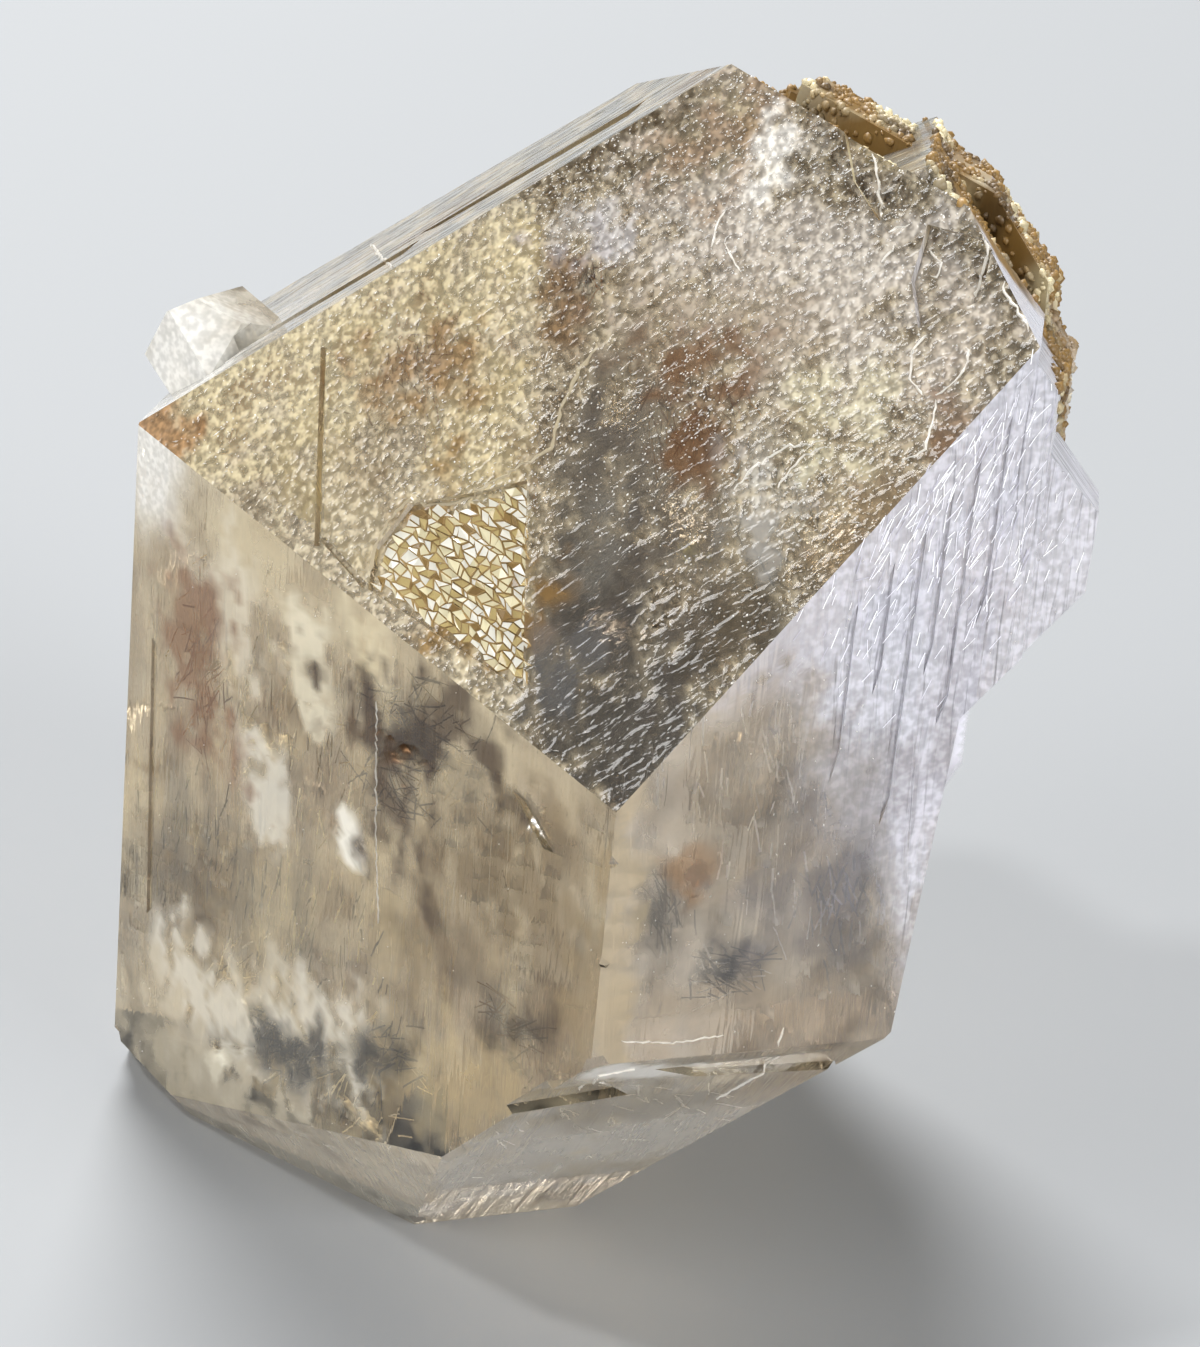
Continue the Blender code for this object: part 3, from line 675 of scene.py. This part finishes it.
def pearlyRidge():
    # worn quartz ridge: frosted, half clear, brighter than the face
    return tonedMaterial("frostedGrowthRidge", {"Roughness": 0.3, "IOR": 1.544, "Transmission Weight": 0.25})


def ridgePath(face, corners, settings, dice):
    # points on the real surface along a line of corners
    path = []
    for start, end in zip(corners, corners[1:]):
        steps = max(2, int(math.dist(start, end) / settings["step"]))
        for k in range(steps):
            share = k / steps
            u = start[0] + (end[0] - start[0]) * share + dice.gauss(0, settings["waver"])
            v = start[1] + (end[1] - start[1]) * share + dice.gauss(0, settings["waver"])
            if onFace(face, u, v):
                path.append(spotOn(face, u, v)[0])
    return path


def growRidge(bm, rims, spots):
    # draws the ridge's two edges on to the next rim, crest and rim; returns the new ends and edges
    grown = bmesh.ops.extrude_edge_only(bm, edges=rims)["geom"]
    ends = [part for part in grown if isinstance(part, bmesh.types.BMVert)]
    rims = [part for part in grown if isinstance(part, bmesh.types.BMEdge)]
    crest = [v for v in ends if len([e for e in v.link_edges if e in rims]) == 2][0]
    outer = [v for v in ends if v is not crest]
    outer.sort(key=lambda v: (v.co - spots[0]).length - (v.co - spots[2]).length)
    outer[0].co, crest.co, outer[1].co = spots
    return ends, [e for e in rims if crest in e.verts]


def makeGrowthLines(settings):
    bm = bmesh.new()
    toneLayer = bm.verts.layers.float_color.new("tone")
    dice = random.Random(settings["seed"])
    tone = linear(settings["stepColour"])
    for face, width, corners in settings["lines"]:
        normal = faceAxes(face)[3]
        path = ridgePath(face, corners, settings, dice)
        if len(path) < 3:
            continue
        rims = None
        last = len(path) - 1
        for k, spot in enumerate(path):
            run = (path[min(k + 1, last)] - path[max(k - 1, 0)]).normalized()
            taper = 0.3 if k in (0, last) else 1
            side = normal.cross(run) * width * 0.0005 * dice.uniform(0.45, 1.2) * taper
            rise = normal * settings["rise"] * 0.001 * dice.uniform(0.6, 1.2)
            foot = normal * (settings["sink"] * 0.001)
            spots = (spot - side - foot, spot + rise, spot + side - foot)
            if rims is None:
                ends = [bm.verts.new(p) for p in spots]
                rims = [bm.edges.new(ends[:2]), bm.edges.new(ends[1:])]
            else:
                ends, rims = growRidge(bm, rims, spots)
            for vert in ends:
                vert[toneLayer] = tone
        tone = linear(settings["colour"])
    bmesh.ops.recalc_face_normals(bm, faces=bm.faces)
    finishPiece("growthLines", bm, pearlyRidge())


makeGrowthLines(growthLines)
print("growth lines made")


# what lies inside: milky veils, iron-stained cracks and bright healed fractures
inside = {
    "grid": 0.45,  # mm between the points that carry the veil's colour
    "skyward": (0.0, 0.1, 0.95),  # towards the light above
    "slants": {  # the way into the crystal under each face
        "roof": (0.33, 0.80, -0.50), "frontLeft": (0.336, 0.890, -0.309), "frontRight": (-0.12, 0.95, -0.29),
        "foot": (-0.1, 0.98, 0.16), "leftFoot": (0.2, 0.97, 0.12),
    },
    # sheets under a face: outline in (u, v) mm, depth mm, tone, stain tone, cover, waviness mm, seed
    "sheets": [
        ("roof", [(16.9, 14.4), (11.1, 7.6), (5.9, 1.3), (8.6, 1.0), (13.6, 0.5), (17.0, 0.9), (26.0, 0.8),
                  (24.8, 4.4), (22.9, 7.6), (20.5, 11.6), (18.8, 14.0)],
         1.2, "#e9d9ab", "#a07238", 0.6, 0.15, 3),
        ("frontLeft", [(2.0, 2.5), (28.0, 1.0), (28.0, 22.0), (14.0, 22.0), (4.0, 11.0)],
         6.0, "#d9caa6", "#6b5238", 0.3, 1.6, 8),
        ("frontLeft", [(6.0, 8.0), (26.0, 12.0), (26.0, 23.0), (12.0, 22.0)],
         3.2, "#e6d8b6", "#8a7350", 0.3, 1.2, 9),
        ("frontRight", [(0.8, -1.0), (10.5, -8.0), (11.0, 9.0), (1.0, 9.5)],
         3.5, "#c9c0b2", "#77706a", 0.45, 1.2, 14),
        ("frontRight", [(6.0, -5.0), (13.0, -12.0), (12.5, 0.0), (9.0, 5.0)],
         1.0, "#dddce6", "#8f8a90", 0.5, 0.5, 15),
        ("roof", [(0.5, 9.0), (12.0, 12.0), (12.0, 22.0), (0.0, 20.5)],
         2.5, "#d5c6ac", "#8a6a45", 0.42, 1.0, 21),
    ],
    # small bright or dark wisps: face, u, v, depth, width, height mm, tone, cover, seed
    "wisps": [
        ("frontLeft", 18.8, 5.8, 1.2, 3.4, 2.4, "#fff3d2", 0.8, 1),
        ("frontLeft", 19.7, 7.5, 1.6, 3.0, 1.8, "#fbeecb", 0.7, 2),
        ("frontLeft", 17.2, 2.0, 1.4, 2.4, 1.8, "#fdf3da", 0.7, 3),
        ("frontLeft", 13.2, 0.6, 1.0, 2.6, 1.6, "#fbf0d0", 0.6, 4),
        ("frontLeft", 20.1, 18.0, 1.6, 4.2, 1.8, "#fff6df", 0.75, 5),
        ("frontLeft", 17.5, 16.6, 1.8, 3.6, 1.6, "#fbefcf", 0.6, 6),
        ("frontLeft", 21.5, 21.2, 0.8, 0.9, 1.2, "#fffbe9", 1.0, 7),
        ("frontLeft", 21.1, 17.2, 1.2, 2.4, 1.4, "#fff3d2", 0.7, 8),
        ("frontLeft", 12.2, 19.0, 0.9, 2.8, 1.1, "#fff7dc", 0.95, 9),
        ("frontLeft", 16.8, 18.6, 0.8, 2.6, 1.2, "#57503f", 0.7, 10),
        ("frontLeft", 12.0, 15.9, 0.8, 2.2, 1.4, "#4d463a", 0.7, 11),
        ("frontLeft", 4.2, 12.0, 0.8, 2.6, 1.2, "#6a5f4b", 0.6, 12),
        ("frontLeft", 10.8, 2.0, 0.8, 4.6, 3.6, "#5b4128", 0.7, 13),
        ("frontLeft", 3.8, 2.2, 0.5, 1.3, 2.2, "#fffaf0", 0.9, 15),
        ("roof", 12.6, 5.0, 0.6, 1.6, 0.9, "#fff6d0", 0.8, 16),
        ("roof", 14.2, 13.0, 0.8, 2.2, 1.8, "#e8e8ee", 0.8, 17),
        ("roof", 2.6, 12.8, 1.2, 2.2, 1.4, "#e8dfa8", 0.6, 18),
        ("roof", 3.4, 8.2, 0.6, 1.6, 0.9, "#efe9a8", 0.8, 19),
        ("roof", 1.6, 17.0, 1.0, 2.4, 1.4, "#eee3ae", 0.6, 20),
        ("frontRight", 4.0, 6.6, 0.8, 2.4, 1.8, "#5c5a55", 0.7, 21),
        ("frontRight", 1.5, 4.3, 0.8, 1.8, 1.6, "#65615a", 0.6, 22),
        ("frontRight", 3.1, 2.9, 0.8, 2.0, 1.6, "#7c5d40", 0.5, 23),
        ("foot", 0.8, 3.2, 0.5, 2.4, 1.2, "#fffaf0", 0.85, 24),
        ("foot", 6.5, 2.4, 0.8, 3.0, 1.4, "#8d8578", 0.5, 25),
    ],
}


def milkyVeil():
    # healed fracture in quartz: a film of tiny fluid bubbles, milky and half clear, or brown with iron oxide
    return tonedMaterial("milkyHealedFracture", {"Roughness": 0.45, "IOR": 1.333}, seeThrough=True)


def splitSmall(bm, faces, side):
    # cuts faces until no edge is longer than side
    grown = set(faces)
    for k in range(8):  # halvings, more than are needed
        tooLong = {e for f in grown if f.is_valid for e in f.edges if e.calc_length() > side}
        if not tooLong:
            break
        cut = bmesh.ops.subdivide_edges(bm, edges=list(tooLong), cuts=1)["geom"]
        grown = {f for f in grown if f.is_valid}
        grown |= {part for part in cut if isinstance(part, bmesh.types.BMFace)}
        flat = bmesh.ops.triangulate(bm, faces=[f for f in grown if f.is_valid and len(f.verts) > 3])["faces"]
        grown = {f for f in grown if f.is_valid} | set(flat)
    return [f for f in grown if f.is_valid]


def makeInside(settings):
    bm = bmesh.new()
    toneLayer = bm.verts.layers.float_color.new("tone")
    for face, outline, depth, tone, stain, cover, wave, seed in settings["sheets"]:
        corner, along, across, normal = faceAxes(face)
        inward = Vector(settings["slants"][face]).normalized()
        rim = [bm.verts.new(corner + (along * u + across * v + inward * depth) * 0.001) for u, v in outline]
        sheet = splitSmall(bm, [bm.faces.new(rim)], settings["grid"] * 0.001)
        edge = {v for f in sheet for v in f.verts if v.is_boundary}
        shift = Vector((seed * 0.01, 0, 0))
        upright = Vector((1, 1, 1 if face == "roof" else 0.3))
        for vert in {v for f in sheet for v in f.verts}:
            cloud = noise.fractal((vert.co * upright + shift) * 330, 0.8, 2.2, 5)
            strands = noise.fractal((vert.co * upright + shift) * 1100, 0.8, 2.2, 3)
            stained = clamp(2.5 * noise.fractal((vert.co - shift) * 200, 0.9, 2.1, 3) - 0.2 + strands)
            vert.co -= normal * wave * 0.001 * (1 + noise.fractal((vert.co + shift) * 120, 0.8, 2.1, 3))
            fades = vert in edge and wave >= 0.3  # a deep sheet fades out at its rim
            mixed = blend(linear(tone), linear(stain), stained)
            mixed[3] = clamp(cover * (1.0 + 1.3 * cloud + 0.9 * strands)) * (0.0 if fades else 1.0)
            vert[toneLayer] = mixed
    finishPiece("innerVeils", bm, milkyVeil(), smooth=True)


def silveryFilm():
    # open crack in quartz: the air film in it throws light back like a mirror, brown where rust has crept in
    return tonedMaterial("silveryCrackFilm", {"Roughness": 0.3, "Metallic": 0.75}, seeThrough=True)


def makeWisps(settings):
    bm = bmesh.new()
    toneLayer = bm.verts.layers.float_color.new("tone")
    for face, u, v, depth, width, height, tone, cover, seed in settings["wisps"]:
        inward = Vector(settings["slants"][face]).normalized()
        spot = spotOn(face, u, v)[0] + inward * depth * 0.001
        dice = random.Random(seed)
        upward = Vector(settings["skyward"]) - inward  # half way between the light above and the eye
        normal = (upward.normalized() + Vector([dice.gauss(0, 0.16) for k in range(3)])).normalized()
        twist = Matrix.Rotation(dice.uniform(-0.4, 0.4), 4, "Z")
        away = normal.to_track_quat("Z", "Y").to_matrix().to_4x4() @ twist
        grid = bmesh.ops.create_grid(
            bm, x_segments=18, y_segments=18, size=halfUnit,
            matrix=Matrix.Translation(spot) @ away @ Matrix.Diagonal((width, height, 1, 1)))["verts"]
        for vert in grid:
            flat = away.inverted() @ (vert.co - spot)
            reach = math.hypot(flat.x / width, flat.y / height) * 2000  # 1 at the rim
            cloud = noise.fractal((vert.co + Vector((seed * 0.013, 0, 0))) * 1400, 0.8, 2.2, 4)
            vert.co += normal * 0.0003 * cloud
            mixed = linear(tone)
            mixed[3] = clamp(cover * 2.2 * (0.85 - reach + 0.9 * cloud))
            vert[toneLayer] = mixed
    finishPiece("crackFilms", bm, silveryFilm(), smooth=True)


makeInside(inside)
makeWisps(inside)
print("inner veils made")


# fine threads: the crazing of cracks and fibres just under the glass, and matted fibres on the skin at
# the upper right
threads = {
    "size": (0.4, 1.7, 0.035, 0.075),  # mm: length from, to, width from, to
    "skinScale": 0.5,  # fibres on the skin, with a depth below 0, are this much of that size
    # face, u, v, reach along u and v, depth from, to in mm, how many, slant in degrees, spread, tones
    "bunches": [
        ("frontLeft", 10.3, 1.8, 2.4, 1.8, 0.25, 0.6, 120, 20, 80, ["#cbbda2", "#e0d3b6", "#3a2c1c"]),
        ("frontLeft", 11.6, 4.6, 2.2, 1.4, 0.25, 0.7, 60, 20, 80, ["#b9a684", "#3f3020"]),
        ("frontLeft", 23.4, 4.4, 1.6, 3.4, 0.25, 0.7, 110, 80, 70, ["#b98f62", "#5a3216", "#d8c29c"]),
        ("frontLeft", 18.0, 5.0, 7.0, 5.0, 0.3, 1.4, 150, 85, 30, ["#f7efda", "#fffaec", "#8d7f68"]),
        ("frontLeft", 19.0, 12.6, 8.0, 4.0, 0.3, 1.2, 170, 84, 18, ["#efe6d0", "#77726a", "#5f5c57"]),
        ("frontLeft", 17.0, 18.0, 7.0, 2.6, 0.3, 1.0, 120, 60, 40, ["#fffaf0", "#f4ead2", "#4b4842"]),
        ("frontLeft", 10.8, 15.4, 1.6, 1.2, 0.25, 0.5, 45, 40, 50, ["#332e26", "#4f4739", "#e7dcc0"]),
        ("frontLeft", 16.8, 18.4, 1.8, 1.1, 0.25, 0.5, 45, 40, 50, ["#3b3935", "#55534c"]),
        ("frontLeft", 4.4, 10.6, 1.8, 0.8, 0.25, 0.5, 40, 30, 60, ["#4b3c26", "#6a5537"]),
        ("frontRight", 4.6, 6.9, 1.2, 1.1, 0.25, 0.5, 50, 30, 70, ["#46474b", "#5b5c60", "#e4e2e4"]),
        ("frontRight", 8.2, 4.4, 1.4, 2.2, 0.25, 0.6, 50, 80, 30, ["#6c6d73", "#8b8b90", "#eceaf0"]),
        ("frontRight", 1.8, 4.3, 0.9, 1.2, 0.25, 0.5, 30, 80, 40, ["#625e58", "#807a72"]),
        ("frontRight", 6.0, -1.0, 5.0, 7.0, 0.3, 1.0, 160, 84, 16, ["#f7f5fb", "#fffefc", "#a09c9c"]),
        ("roof", 18.0, 8.0, 2.4, 2.2, 0.3, 0.6, 90, 45, 80, ["#5e3517", "#7d4a22", "#c49a68"]),
        ("roof", 6.2, 12.2, 1.8, 1.6, 0.3, 0.6, 70, 45, 80, ["#5a3216", "#7d4a22", "#c9a67a"]),
        ("roof", 2.4, 11.2, 1.8, 1.6, 0.3, 0.8, 80, 45, 70, ["#e9e9ec", "#d6d3cc", "#4d4538"]),
        ("roof", 14.2, 13.4, 1.0, 1.2, 0.3, 0.6, 40, 45, 80, ["#5a3216", "#8a5a2c"]),
        ("foot", 2.0, 7.0, 5.0, 5.0, 0.3, 0.9, 70, 60, 40, ["#fffdf8", "#8f897c", "#efe9dc"]),
        ("frontRight", 10.5, -10.0, 4.5, 5.0, -0.04, 0.0, 520, 112, 26,
         ["#f6f6fc", "#ecebf4", "#b9b7c4", "#ffffff"]),
    ],
    "seed": 41,
}


def crazedThread():
    # crazing in quartz: hair cracks that show as thin pale or dark lines
    return tonedMaterial("crazedHairCrack", {"Roughness": 0.4, "IOR": 1.333})


def makeThreads(settings):
    whole, batch = bmesh.new(), bmesh.new()
    dice = random.Random(settings["seed"])
    noise.seed_set(settings["seed"])  # or noise_vector starts from the clock, and the bends change each run
    shortest, longest, thinnest, thickest = settings["size"]
    for face, u, v, reachU, reachV, shallow, deep, count, slant, spread, tones in settings["bunches"]:
        corner, along, across, normal = faceAxes(face)
        away = Matrix((along, across, normal)).transposed().to_4x4()
        toneLayer = batch.verts.layers.float_color.new("tone")
        scale = settings["skinScale"] if shallow < 0 else 1.0
        for k in range(count):
            placeU, placeV = dice.gauss(u, reachU / 1.8), dice.gauss(v, reachV / 1.8)
            if not onFace(face, placeU, placeV):
                continue
            spot = spotOn(face, placeU, placeV)[0] - normal * dice.uniform(shallow, deep) * 0.001
            long, wide = dice.uniform(shortest, longest) * scale, dice.uniform(thinnest, thickest) * scale
            turn = Matrix.Rotation(math.radians(dice.gauss(slant, spread / 2)), 4, "Z")
            strip = bmesh.ops.create_grid(
                batch, x_segments=6, y_segments=1, size=halfUnit,
                matrix=Matrix.Translation(spot) @ away @ turn @ Matrix.Diagonal((long, wide, 1, 1)))["verts"]
            colour = linear(dice.choice(tones))
            for vert in strip:
                middle = spot + (vert.co - spot) * 0.98
                bend = noise.noise_vector(middle * 700) * 0.00012
                vert.co += bend - normal * bend.dot(normal)
                vert[toneLayer] = colour
        batch = pour(batch, whole)
    batch.free()
    finishPiece("crazedThreads", whole, crazedThread())


makeThreads(threads)
print("threads made")


# the crust behind the top right: a druse of small stained grains
crust = {
    "grains": 2600,
    "sizes": (0.08, 0.26),  # mm
    "edge": (6, -9.5, 33.5),  # mm: grains lie past this x, y and z
    "underRoof": -0.6,  # mm, how far a grain's ground lies under the big roof's plane
    "seed": 31,
}


def stainedGrain():
    # iron-stained quartz druse: waxy half-clear grains, cream to ochre and dark brown, the cream along the
    # top a painted highlight
    material, tree = newMaterial("ironStainedDruse")
    place = addNode(tree, "ShaderNodeTexCoord").outputs["Object"]
    tone = addNode(tree, "ShaderNodeAttribute", attribute_name="tone")
    dirt = addNode(tree, "ShaderNodeTexNoise", {"Vector": place}, {"Scale": 2200.0, "Detail": 2.0})
    bump = addNode(
        tree, "ShaderNodeBump", {"Height": dirt.outputs["Fac"]}, {"Strength": 0.6, "Distance": 0.0001})
    shader = addNode(
        tree, "ShaderNodeBsdfPrincipled",
        {"Base Color": tone.outputs["Color"], "Normal": bump.outputs["Normal"]},
        {"Roughness": 0.5, "IOR": 1.544, "Transmission Weight": 0.12})
    addNode(tree, "ShaderNodeOutputMaterial", {"Surface": shader.outputs[0]})
    return material


def addGrain(bm, toneLayer, spot, size, colour, dice):
    turn = Euler((dice.uniform(0, 6.3), dice.uniform(0, 6.3), dice.uniform(0, 6.3))).to_matrix().to_4x4()
    shape = Matrix.Diagonal((size, size * dice.uniform(0.7, 1.0), size * dice.uniform(0.7, 1.3), 1))
    grain = bmesh.ops.create_icosphere(
        bm, subdivisions=1, radius=1.0, matrix=Matrix.Translation(spot) @ turn @ shape)["verts"]
    for vert in grain:
        vert.co += (vert.co - spot) * dice.uniform(-0.3, 0.12)
        vert[toneLayer] = colour


def crustGround(settings):
    # the triangles of the solid that grains grow on, each with its area
    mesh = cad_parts[body["node"]].data
    mesh.calc_loop_triangles()
    edgeX, edgeY, edgeZ = settings["edge"]
    ground = []
    for tri in mesh.loop_triangles:
        corners = [mesh.vertices[k].co for k in tri.vertices]
        middle = sum(corners, Vector()) / 3
        x, y, z = middle * 1000
        past = x > edgeX and y > edgeY and z > edgeZ
        below = heightOver(middle, "roof") < settings["underRoof"]
        looksAway = tri.normal.dot(faceNormals["leftRoof"]) < sameWay["roof"] and tri.normal.z > -0.4
        if past and below and looksAway:
            ground.append((corners, tri.area))
    return ground


def makeCrust(settings):
    whole, batch = bmesh.new(), bmesh.new()
    toneLayer = batch.verts.layers.float_color.new("tone")
    dice = random.Random(settings["seed"])
    fields, areas = zip(*crustGround(settings))
    low, high = boundsBefore
    for k in range(settings["grains"]):
        corners = dice.choices(fields, areas)[0]
        a, b = sorted((dice.random(), dice.random()))
        spot = corners[0] * a + corners[1] * (b - a) + corners[2] * (1 - b)
        size = dice.uniform(*settings["sizes"]) * 0.001
        room = size * 1.1  # a grain keeps this far inside the solid's box
        spot = Vector([min(max(spot[n], low[n] + room), high[n] - room) for n in range(3)])
        shade = dice.uniform(0.75, 1.15)
        colour = [min(1.0, channel * shade) for channel in crustTone(spot, body)[:3]] + [1.0]
        addGrain(batch, toneLayer, spot, size, colour, dice)
        if k % batchSize == batchSize - 1:
            batch = pour(batch, whole)
            toneLayer = batch.verts.layers.float_color.new("tone")
    pour(batch, whole).free()
    finishPiece("ochreCrust", whole, stainedGrain(), smooth=True)


makeCrust(crust)
print("crust made")


# the bright cellular patch: a skin of small raised plates, white to yellow, with brown seams
cells = {
    "outline": [  # (u, v) in mm
        (13.9, 0.8), (14.6, 2.0), (14.5, 3.3), (14.2, 3.8), (13.0, 4.5), (11.8, 5.7), (10.8, 6.8),
        (5.9, 1.3)],
    "columns": 24,
    "rows": 30,
    "start": (5.2, -0.6),  # (u, v) in mm of the first
    "pitch": (0.38, 0.25),  # mm between plates along u and v
    "wander": 0.45,  # share of the pitch that a corner strays
    "seam": 0.028,  # mm
    "rise": (0.02, 0.12),  # mm
    "tones": ["#fffdf0", "#f6ecc4", "#cbb67c", "#94784a"],
    "shares": (5, 5, 3, 1),
    "seamTone": "#c9ad7a",
    "seed": 17,
}


def plateSkin():
    # etched skin of quartz: glassy white plates over a rusty film
    return tonedMaterial("etchedQuartzSkin", {"Roughness": 0.12, "IOR": 1.544, "Transmission Weight": 0.45})


def insideOutline(u, v, outline):
    within = False
    for (u1, v1), (u2, v2) in zip(outline, outline[1:] + outline[:1]):
        if (v1 > v) != (v2 > v) and u < (u2 - u1) * (v - v1) / (v2 - v1) + u1:
            within = not within
    return within


def makeCells(settings):
    bm = bmesh.new()
    dice = random.Random(settings["seed"])
    startU, startV = settings["start"]
    stepU, stepV = settings["pitch"]
    columns, rows = settings["columns"], settings["rows"]
    bmesh.ops.create_grid(bm, x_segments=columns, y_segments=rows, size=1.0)
    places = {}
    for vert in bm.verts:
        column, row = round((vert.co.x + 1) * columns / 2), round((vert.co.y + 1) * rows / 2)
        u = startU + (column + 0.5 * (row % 2) + dice.uniform(-1, 1) * settings["wander"]) * stepU
        v = startV + (row + dice.uniform(-1, 1) * settings["wander"]) * stepV
        places[vert] = (u, v)
        vert.co = spotOn("roof", u, v)[0] + faceNormals["roof"] * 1e-5  # clear of the roof
    outside = []
    for face in bm.faces:
        middle = [sum(places[v][k] for v in face.verts) / 4 for k in (0, 1)]
        if not insideOutline(*middle, settings["outline"]) or not onFace("roof", *middle):
            outside.append(face)
    bmesh.ops.delete(bm, geom=outside, context="FACES")
    if sum(f.normal.dot(faceNormals["roof"]) for f in bm.faces) < 0:
        bmesh.ops.reverse_faces(bm, faces=bm.faces[:])
    plates = bm.faces[:]
    bmesh.ops.inset_individual(bm, faces=plates, thickness=settings["seam"] * 0.001, use_even_offset=True)
    toneLayer = bm.loops.layers.float_color.new("tone")
    for face in bm.faces:
        for loop in face.loops:
            loop[toneLayer] = linear(settings["seamTone"])
    for face in plates:
        tone = linear(dice.choices(settings["tones"], settings["shares"])[0])
        rise = dice.uniform(*settings["rise"]) * 0.001
        for loop in face.loops:
            loop[toneLayer] = tone
            loop.vert.co += faceNormals["roof"] * rise * dice.uniform(0.3, 1.6)
    finishPiece("cellularPatch", bm, plateSkin())


makeCells(cells)
print("cellular patch made")


# floor, light and camera
studio = {
    "floorSide": 3.0,  # m
    "floorColour": "#8f9193",
    "skyColour": "#e9ecef",
    "skyStrength": 0.18,
    "lamps": {  # place in m, aimed at the crystal, width in m, watts
        "highBackLamp": ((-0.15, 0.5, 0.65), 0.4, 12.0),
        "rightFillLamp": ((0.6, -0.45, 0.35), 0.4, 5.5),
        "leftFillLamp": ((-0.6, -0.35, 0.4), 0.4, 3.0),
        "glintLamp": ((-0.3, -0.12, 0.6), 0.06, 1.5),
        "lowFrontLamp": ((-0.05, -0.6, 0.05), 0.3, 1.8),
    },
    "aim": (0.0, 0.0, 0.022),
    "cameraPlace": (1.44, -108.655, 77.76),  # mm
    "cameraRight": (0.9976, 0.0317, 0.0612),
    "cameraUp": (-0.069, 0.4591, 0.8857),
    "focal": 96.0,  # mm
    "sensor": 36.0,  # mm across
    "nearest": 0.005,  # m that the camera can see from
    "farthest": 20.0,  # m
    "bounces": 7,  # enough for light to cross the crystal, its veils and its far side
    "diffuseBounces": 2,
}


def paleFloor(settings):
    # matt card
    material, tree = newMaterial("mattCardFloor")
    shader = addNode(
        tree, "ShaderNodeBsdfPrincipled", None,
        {"Base Color": linear(settings["floorColour"]), "Roughness": 0.7, "Specular IOR Level": 0.2})
    addNode(tree, "ShaderNodeOutputMaterial", {"Surface": shader.outputs[0]})
    return material


def layFloor(settings):
    bm = bmesh.new()
    bmesh.ops.create_grid(bm, x_segments=1, y_segments=1, size=settings["floorSide"] / 2)
    mesh = bpy.data.meshes.new("studioFloor")
    bm.to_mesh(mesh)
    bm.free()
    mesh.materials.append(paleFloor(settings))
    floor = bpy.data.objects.new("studioFloor", mesh)
    scene.collection.objects.link(floor)


def lightStudio(settings):
    world = bpy.data.worlds.new("softSky")
    world.use_nodes = True
    sky = world.node_tree.nodes["Background"]
    sky.inputs["Color"].default_value = linear(settings["skyColour"])
    sky.inputs["Strength"].default_value = settings["skyStrength"]
    scene.world = world
    for name, (place, width, watts) in settings["lamps"].items():
        light = bpy.data.lights.new(name, "AREA")
        light.shape = "DISK"
        light.size = width
        light.energy = watts
        lamp = bpy.data.objects.new(name, light)
        lamp.location = place
        lamp.rotation_euler = (Vector(place) - Vector(settings["aim"])).to_track_quat("Z", "Y").to_euler()
        scene.collection.objects.link(lamp)


def placeCamera(settings):
    lens = bpy.data.cameras.new("standCamera")
    lens.sensor_fit = "HORIZONTAL"
    lens.sensor_width = settings["sensor"]
    lens.lens = settings["focal"]
    lens.clip_start = settings["nearest"]
    lens.clip_end = settings["farthest"]
    camera = bpy.data.objects.new("standCamera", lens)
    right = Vector(settings["cameraRight"]).normalized()
    back = right.cross(Vector(settings["cameraUp"])).normalized()
    up = back.cross(right)
    turn = Matrix((right, up, back)).transposed().to_4x4()
    camera.matrix_world = Matrix.Translation(mm(*settings["cameraPlace"])) @ turn
    scene.collection.objects.link(camera)
    scene.camera = camera


layFloor(studio)
lightStudio(studio)
placeCamera(studio)
scene.view_settings.view_transform = "Standard"  # keeps the contrast of clear glass on a pale floor
scene.cycles.max_bounces = studio["bounces"]
scene.cycles.diffuse_bounces = studio["diffuseBounces"]
scene.cycles.transmission_bounces = studio["bounces"]
print("studio made")
